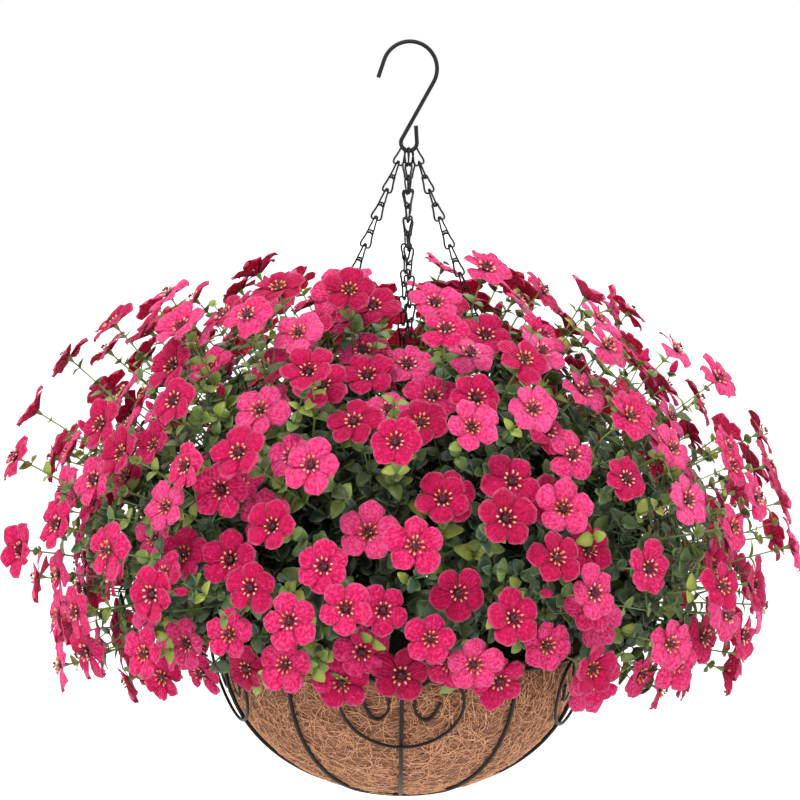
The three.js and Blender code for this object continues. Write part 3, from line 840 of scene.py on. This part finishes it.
# ---- Stems and calyxes ----
# Green plastic moulded over thin wire. Main stems stand in the foam, and a stalk runs from the
# stem to each head, where it swells into the calyx that grips the petals.
def stem_plastic():
    """Green plastic, dark and a little brown low down and yellower near the heads: painted shade deep in the
    plant, with a random mottle.
    """
    finish, tree, shader = new_finish("stem_plastic")
    # The point value is painted shade, dark at a stem's foot deep in the plant and light at its tip; the
    # noise is the plastic's own mottle.
    shade_and_mottle = math_step(tree, "MULTIPLY_ADD", object_noise(tree, 120, 2), 0.25, point_value(tree, "shade_and_tone"))
    shades = [(0.1, (0.018, 0.028, 0.012)), (0.6, (0.055, 0.10, 0.03)), (1.0, (0.22, 0.30, 0.06))]
    tree.links.new(shade_ramp(tree, shade_and_mottle, shades), shader.inputs["Base Color"])
    shader.inputs["Roughness"].default_value = 0.5
    return finish


green_stem = stem_plastic()


def tube_mesh(ends, radii, steps, sides, shade_ends):
    """A tapering tube along a bowed route, closed at both ends."""
    points = [bow(ends, k / steps) for k in range(steps + 1)]
    build = bmesh.new()
    rings = []
    reference = Vector((0.31, 0.52, 0.79))
    for k, point in enumerate(points):
        along = (points[min(k + 1, steps)] - points[max(k - 1, 0)]).normalized()
        side = along.cross(reference).normalized()
        out = along.cross(side)
        radius = radii[0] + (radii[1] - radii[0]) * k / steps
        rings.append([build.verts.new(point + (side * math.cos(a) + out * math.sin(a)) * radius)
                      for a in (2 * math.pi * j / sides for j in range(sides))])
    for low, high in zip(rings, rings[1:]):
        for j in range(sides):
            build.faces.new((low[j], low[(j + 1) % sides], high[(j + 1) % sides], high[j]))
    build.faces.new(list(reversed(rings[0])))
    build.faces.new(rings[-1])
    mesh = bpy.data.meshes.new("stem")
    build.to_mesh(mesh)
    build.free()
    # Painted shade along the tube, from dark at its foot to light at its tip.
    values = [shade_ends[0] + (shade_ends[1] - shade_ends[0]) * k / steps for k in range(steps + 1) for _ in range(sides)]
    attribute(mesh, "shade_and_tone", values)
    stem = bpy.data.objects.new("stem", mesh)
    bpy.context.scene.collection.objects.link(stem)
    stem.data.materials.append(green_stem)
    stem.data.shade_smooth()
    return stem


def calyx_model():
    """A small cup with five pointed sepals that lie under the petals."""
    clear_selection()
    bpy.ops.mesh.primitive_cone_add(vertices=10, radius1=0.0009, radius2=0.0026, depth=0.006,
                                    location=(0, 0, -0.0028))
    cup = place_in_mesh(bpy.context.object)
    for point in cup.data.vertices:
        if point.co.z > 0:
            a = math.atan2(point.co.y, point.co.x)
            flare = 1.0 + 1.1 * max(0, math.cos(5 * a))
            point.co = (point.co.x * flare, point.co.y * flare, point.co.z - 0.0012 * (flare - 1))
    # The calyx's painted shade value, as light as a stalk's tip.
    attribute(cup.data, "shade_and_tone", 0.75)
    cup.name = "calyx_model"
    cup.data.materials.append(green_stem)
    return cup


calyx = calyx_model()


# ---- Leaves ----
# Small round leaves of green plastic in opposite pairs, each pair a quarter turn from the last. They
# are dark and bluish deep in the plant and yellow-green near the flowers: painted shade. Their pale edges are
# their own.
def leaf_plastic():
    finish, tree, shader = new_finish("leaf_plastic")
    mottle = object_noise(tree, 140, 3)
    # The point value is painted shade, light at the dome's outside and dark deep inside; the mottle is the
    # plastic's own uneven tone.
    shade_and_mottle = math_step(tree, "MULTIPLY_ADD", mottle, 0.3, point_value(tree, "shade_and_tone"))
    shades = [(0.12, (0.005, 0.014, 0.010)), (0.42, (0.020, 0.055, 0.026)), (0.72, (0.12, 0.19, 0.03)),
              (1.0, (0.31, 0.37, 0.05))]
    tone = pale_margin(tree, shade_ramp(tree, shade_and_mottle, shades), 0.55, 1.0, 0.35, (0.22, 0.30, 0.10))
    tree.links.new(tone, shader.inputs["Base Color"])
    shader.inputs["Roughness"].default_value = 0.42
    raise_relief(tree, shader, mottle, 0.3, 0.0004)
    return finish


green_leaf = leaf_plastic()
LEAF_THICK = 0.0005
LEAF_SIZES = [(0.0155, 0.0064), (0.0175, 0.0066), (0.0145, 0.0068)]  # length and half breadth


def leaf_model(seed, length, breadth):
    """One leaf along +Y from its stalk at the origin, folded a little along its midrib."""
    luck = np.random.default_rng(seed)
    clear_selection()
    bpy.ops.mesh.primitive_grid_add(x_subdivisions=2, y_subdivisions=3, size=2)
    leaf = bpy.context.object
    curl = luck.uniform(0.1, 0.35)
    edge = []
    for point in leaf.data.vertices:
        u, v = point.co.x, (point.co.y + 1) / 2
        width = breadth * (0.10 + 0.90 * math.sin(math.pi * (0.03 + 0.90 * v ** 0.75)) ** 0.8)
        along = v - 0.10 * v * u * u
        lift = 0.30 * abs(u) * width - curl * length * v * v
        point.co = (u * width, length * along, lift)
        edge.append(abs(u))
    attribute(leaf.data, "edge", edge)
    bpy.ops.object.modifier_add(type="SOLIDIFY")
    leaf.modifiers["Solidify"].thickness = LEAF_THICK
    bpy.ops.object.modifier_apply(modifier="Solidify")
    bpy.ops.object.shade_smooth()
    leaf.name = "leaf_model"
    leaf.data.materials.append(green_leaf)
    return leaf


leaf_models = [leaf_model(51 + k, *size) for k, size in enumerate(LEAF_SIZES)]


# ---- Flower sprays ----
# Twenty-eight cut sprays pushed into the foam. Each is a main stem that arches outwards, with stalks
# to its heads and leafy twigs, some ending in a bud. Together they make a loose dome round the chains.
SPRAY_COUNT = 28
FLOWER_COUNT = 320
FLOWER_RADIUS = 0.021
FLOWER_DEPTH = 0.22
DOME_TOP = 0.318
DOME_SIDE = 0.332
DOME_POWER = 2.3
LOWEST_FLOWER = math.radians(98)
FRONT_LIFT = math.radians(9)
LOWEST_SPRAY = math.radians(86)
DROOP_FROM = math.radians(72)
DROOP_SIDE = 0.17
DROOP_FRONT = 0.5
STEM_SPREAD = 0.088
STEM_CLEAR = 0.014
STALK_FIRST = 0.5
STALK_LAST = 0.97
STALK_PULL = 0.5
OUTWARD = 0.6
SHORTEST_STALK = 0.014
FORK = 0.6
OVER_RIM = 0.12
FOAM_TOP = 0.016
STEM_FOOT = 0.0013  # where stems start, above the foam
CHAIN_HALF = 0.0034
CHAIN_CLEAR = 0.006
STEM_RADII = (0.0019, 0.0012)
STALK_RADII = (0.0009, 0.0007)
TWIG_RADII = (0.0009, 0.0005)
NECK = 0.0055  # from a head back to the top of its stalk
STALK_LEAF_GAP = 0.023
TWIG_LEAF_GAP = 0.0175
BRIGHT_SHARE = 0.14  # of the leaf pairs
FURTHEST_LEFT = -0.312
MORE_HEADS = {"depths": (0.78, 1.0), "clear": 0.030, "most": 2}
SHOOTS = {"depths": (0.84, 0.97), "clear": 0.024, "most": 4}
LEFT_SPRIGS = {"depths": (1.0, 1.09), "clear": 0.032, "most": 3}
GOLDEN = math.pi * (3 - math.sqrt(5))
CENTRE = Vector((0, 0, RIM_Z))


def scatter(index, purpose):
    """A number from 0 to 1 that is always the same for the same index and purpose."""
    s = math.sin(index * 12.9898 + purpose * 78.233) * 43758.5453
    return s - math.floor(s)


def dome_reach(tilt, angle):
    s, c = abs(math.sin(tilt)), abs(math.cos(tilt))
    full = ((s / DOME_SIDE) ** DOME_POWER + (c / DOME_TOP) ** DOME_POWER) ** (-1 / DOME_POWER)
    low = min(1, max(0, (tilt - DROOP_FROM) / (LOWEST_FLOWER - DROOP_FROM)))
    droop = DROOP_SIDE + (DROOP_FRONT - DROOP_SIDE) * math.sin(angle) ** 2
    return full * (1 - droop * low * low * (3 - 2 * low))


def depth_in_dome(p):
    """How near the dome's outside a point is: 0 at the rim's centre and 1 at the outside."""
    way = p - CENTRE
    return way.length / dome_reach(way.angle(Vector((0, 0, 1)), 0), math.atan2(way.y, way.x))


def dome_way(i, n, lowest, turn):
    tilt = math.acos(1 - (i + 0.5) / n * (1 - math.cos(lowest)))
    angle = i * GOLDEN + turn
    return tilt, angle, polar(math.sin(tilt), angle, math.cos(tilt))


def clear_of_chains(p, distance):
    """Moves a point sideways until it is far enough from each chain."""
    for i in range(CHAIN_COUNT):
        near = min((bow(chain_route(i), k / 60) for k in range(61)), key=lambda q: (q - p).length)
        if (p - near).length < distance:
            side = polar(1, chain_angle(i) + math.pi / 2, 0)
            off = (p - near).dot(side)
            p = p + side * ((-1 if off < 0 else 1) * (distance - abs(off)))
    return p


def wedge_of(p):
    """Which of the four spaces between the chains a point is in."""
    turn = (math.atan2(p.y, p.x) - chain_angle(0)) % (2 * math.pi)
    return int(turn * CHAIN_COUNT / (2 * math.pi))


def into_wedge(p, clearance):
    wedge = wedge_of(p)
    for plane, inward in ((wedge, 1), (wedge + 1, -1)):
        way = polar(1, chain_angle(plane) + inward * math.pi / 2, 0)
        p = p + way * max(0, clearance - p.dot(way))
    return p


def make_flowers():
    made = []
    for j in range(FLOWER_COUNT):
        tilt, angle, way = dome_way(j, FLOWER_COUNT, LOWEST_FLOWER, 0.35)
        if tilt > LOWEST_FLOWER - FRONT_LIFT * math.sin(angle) ** 2:
            continue
        at = CENTRE + way * (dome_reach(tilt, angle) * (1 - FLOWER_DEPTH * scatter(j, 1)))
        at = clear_of_chains(at, FLOWER_RADIUS + CHAIN_HALF + CHAIN_CLEAR)
        facing = way + polar(OUTWARD, angle, 0)
        facing += polar(1, angle + math.pi / 2, 0) * (0.5 * (scatter(j, 2) - 0.5))
        facing.z += 0.5 * (scatter(j, 3) - 0.5)
        made.append({"index": j, "at": at, "facing": facing.normalized(), "way": way})
    return made


def make_sprays(flowers):
    """The sprays' stems, each with the flowers that are nearest to its way in its own wedge."""
    sprays = []
    for i in range(SPRAY_COUNT):
        tilt, angle, way = dome_way(i, SPRAY_COUNT, LOWEST_SPRAY, 0.9)
        spread = STEM_SPREAD * math.sin(tilt) ** 0.8
        foot = into_wedge(polar(spread, angle, RIM_Z - FOAM_TOP + STEM_FOOT), STEM_CLEAR)
        fork = into_wedge(CENTRE + way * (FORK * dome_reach(tilt, angle)), STEM_CLEAR)
        rise = (foot + fork) / 2 + Vector((0, 0, 0.045 * math.sin(tilt) ** 2))
        sprays.append({"way": way, "stem": (foot, rise, fork), "flowers": []})
    for flower in flowers:
        near = [s for s in sprays if wedge_of(s["way"]) == wedge_of(flower["at"])]
        max(near, key=lambda s: s["way"].dot(flower["way"]))["flowers"].append(flower)
    return sprays


def settle(flower, foot):
    """Turns a head partly along its stalk, and moves it out until the stalk comes from behind."""
    stalk = flower["at"] - foot
    flower["facing"] = (flower["facing"] + stalk.normalized() * STALK_PULL).normalized()
    flower["at"] = flower["at"] + flower["facing"] * max(0, SHORTEST_STALK - stalk.dot(flower["facing"]))


def leaf_pair(at, along, turn, size, luck, leaves):
    """Two opposite leaves that stand out from a stalk, yellower towards the dome's outside and darker inside
    it as painted shade.
    """
    out = along.orthogonal().normalized()
    out.rotate(Quaternion(along, turn))
    # Painted shade by depth in the dome, with a random spread and some bright pairs as the leaves' own mixed
    # tones.
    shade_and_tone = 0.05 + 1.3 * (depth_in_dome(at) - 0.5) + luck.uniform(-0.2, 0.2)
    if luck.uniform() < BRIGHT_SHARE:
        shade_and_tone += 0.4
    for side in (1, -1):
        way = out * side + along * luck.uniform(0.3, 0.9) + Vector((0, 0, luck.uniform(-0.2, 0.3)))
        way.normalize()
        place = basis(at, way.cross(along).cross(way), way)
        place = place @ Matrix.Scale(size * luck.uniform(0.8, 1.15), 4)
        leaf = set_down(leaf_models[int(luck.integers(3))], place)
        attribute(leaf.data, "shade_and_tone", max(0, shade_and_tone + luck.uniform(-0.08, 0.08)))
        leaves.append(leaf)


def dress(ends, length, first, gap, sizes, luck, leaves):
    """Sets pairs of leaves along a stalk or twig, from its tip back, larger further down."""
    turn = luck.uniform(0, math.pi)
    back = first
    while back < length:
        t = 1 - back / length
        at = bow(ends, t)
        along = (bow(ends, min(1, t + 0.05)) - bow(ends, max(0, t - 0.05))).normalized()
        part = min(1, (back - first) / 0.08)
        leaf_pair(at, along, turn, sizes[0] + (sizes[1] - sizes[0]) * part, luck, leaves)
        turn += math.pi / 2 + luck.uniform(-0.3, 0.3)
        back += gap * luck.uniform(0.75, 1.25)


def flower_head(at, facing, foot, j, parts, luck):
    """A head at its place, with its calyx and a leafy stalk from the foot."""
    neck = at - facing * NECK
    reach = (neck - foot).length
    stalk = (foot, neck - facing * 0.4 * reach, neck)
    parts["stems"].append(tube_mesh(stalk, STALK_RADII, 5, 4, (0.3, 0.75)))
    pose = basis(at, facing, Vector((math.cos(j * 1.7), math.sin(j * 1.7), 0.4)))
    pose = pose @ Matrix.Scale(0.88 + 0.16 * scatter(j, 5), 4)
    head = set_down(petal_models[int(scatter(j, 4) * len(petal_models))], pose)
    attribute(head.data, "tint", 0.15 + 0.4 * scatter(j, 6))
    parts["petals"].append(head)
    parts["stamens"].append(set_down(stamen_models[int(scatter(j, 7) * 3)], pose))
    parts["stems"].append(set_down(calyx, pose))
    dress(stalk, reach, 0.010, STALK_LEAF_GAP, (0.62, 1.0), luck, parts["leaves"])


def leafy_twig(foot, way, length, sizes, parts, luck):
    """A twig with leaves, kept inside the dome and lifted clear of the liner. Returns its tip and way."""
    while depth_in_dome(foot + way * length) > 0.98 and length > 0.03:
        length *= 0.9
    twig = (foot, foot + way * length * 0.5 + Vector((0, 0, 0.012)), foot + way * length)
    over_bowl = [p.z for p in (bow(twig, k / 8) for k in range(3, 9)) if math.hypot(p.x, p.y) < 0.165]
    lift = max(0, RIM_Z + 0.010 - min(over_bowl, default=0))
    twig = (foot, twig[1] + Vector((0, 0, 2 * lift)), twig[2] + Vector((0, 0, lift)))
    parts["stems"].append(tube_mesh(twig, TWIG_RADII, 4, 4, (0.2, 0.6)))
    dress(twig, length, 0.002, TWIG_LEAF_GAP, sizes, luck, parts["leaves"])
    return twig[2], (twig[2] - twig[1]).normalized()


def free_places(spray, taken, luck, depths, clear, most):
    """Places for a few more heads or shoots, at least a clear distance from those already taken."""
    found = []
    for _ in range(60):
        way = (spray["way"] + Vector(luck.normal(0, 0.28, 3))).normalized()
        tilt, angle = way.angle(Vector((0, 0, 1))), math.atan2(way.y, way.x)
        if len(found) == most or tilt > LOWEST_FLOWER - FRONT_LIFT * math.sin(angle) ** 2 - 0.05:
            continue
        at = clear_of_chains(CENTRE + way * (dome_reach(tilt, angle) * luck.uniform(*depths)),
                             FLOWER_RADIUS + CHAIN_HALF)
        if wedge_of(at) == wedge_of(spray["way"]) and min((at - p).length for p in taken) > clear:
            found.append(at)
            taken.append(at)
    return found


def build_spray(number, spray, taken):
    """One spray's pieces: its own heads, a few more, shoots with a bud, and sprigs at the left."""
    luck = np.random.default_rng(100 + number)
    parts = {"stems": [tube_mesh(spray["stem"], STEM_RADII, 10, 6, (0.05, 0.4))],
             "leaves": [], "petals": [], "stamens": []}
    for flower in spray["flowers"]:
        apart = math.acos(min(1, flower["way"].dot(spray["way"])))
        lowest = STALK_LAST if flower["way"].z < OVER_RIM else STALK_FIRST
        t = min(STALK_LAST, max(lowest, STALK_LAST - 1.3 * apart))
        foot = bow(spray["stem"], t)
        settle(flower, foot)
        flower_head(flower["at"], flower["facing"], foot, flower["index"], parts, luck)
    for k, at in enumerate(free_places(spray, taken, luck, **MORE_HEADS)):
        foot = bow(spray["stem"], luck.uniform(0.6, 0.95))
        facing = (at - CENTRE).normalized() + polar(OUTWARD, math.atan2(at.y, at.x), 0)
        facing = (facing + Vector(luck.normal(0, 0.3, 3))).normalized()
        flower_head(at, facing, foot, 1000 + 10 * number + k, parts, luck)
    for low in (False, False, False, True, True, True, True):
        foot = bow(spray["stem"], luck.uniform(0.08, 0.5) if low else luck.uniform(0.4, 0.95))
        way = (spray["way"] + Vector(luck.normal(0, 0.7 if low else 0.45, 3))).normalized()
        leafy_twig(foot, way, luck.uniform(0.05, 0.11), (1.1, 1.5) if low else (0.8, 1.3), parts, luck)
    for k, at in enumerate(free_places(spray, taken, luck, **SHOOTS)):
        foot = bow(spray["stem"], luck.uniform(0.6, 0.95))
        tip, way = leafy_twig(foot, (at - foot).normalized(), (at - foot).length, (0.6, 1.1), parts, luck)
        if k == 0:
            pose = basis(tip + way * 0.004, way, Vector((0.3, 0.2, 1)))
            parts["petals"].append(set_down(bud, pose))
            attribute(parts["petals"][-1].data, "tint", 0.3)
            parts["stems"].append(set_down(calyx, pose))
    if spray["way"].z < 0.4:
        for _ in range(4):
            way = spray["way"] + Vector((*luck.normal(0, 0.4, 2), -luck.uniform(0.25, 0.65)))
            foot = bow(spray["stem"], luck.uniform(0.3, 0.8))
            leafy_twig(foot, way.normalized(), luck.uniform(0.07, 0.12), (0.8, 1.2), parts, luck)
    if spray["way"].x < -0.5:
        for k, at in enumerate(free_places(spray, taken, luck, **LEFT_SPRIGS)):
            if at.x > FURTHEST_LEFT:
                foot = bow(spray["stem"], 0.9)
                way, length = (at - foot).normalized(), 0.9 * (at - foot).length
                flower_head(at, (at - CENTRE).normalized(), foot, 2000 + 10 * number + k, parts, luck)
                leafy_twig(foot, way, length, (0.6, 1.0), parts, luck)
    return parts


heads = make_flowers()
head_places = [flower["at"] for flower in heads]
for number, spray in enumerate(make_sprays(heads), start=1):
    name = f"flower_spray_{number:02d}"
    for part, pieces in build_spray(number, spray, head_places).items():
        piece = join_pieces(f"{name}_{part}", pieces)
        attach(piece, "basket")
        if part == "stems":
            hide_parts(name)
for model in (*petal_models, *stamen_models, bud, calyx, *leaf_models):
    bpy.data.objects.remove(model)
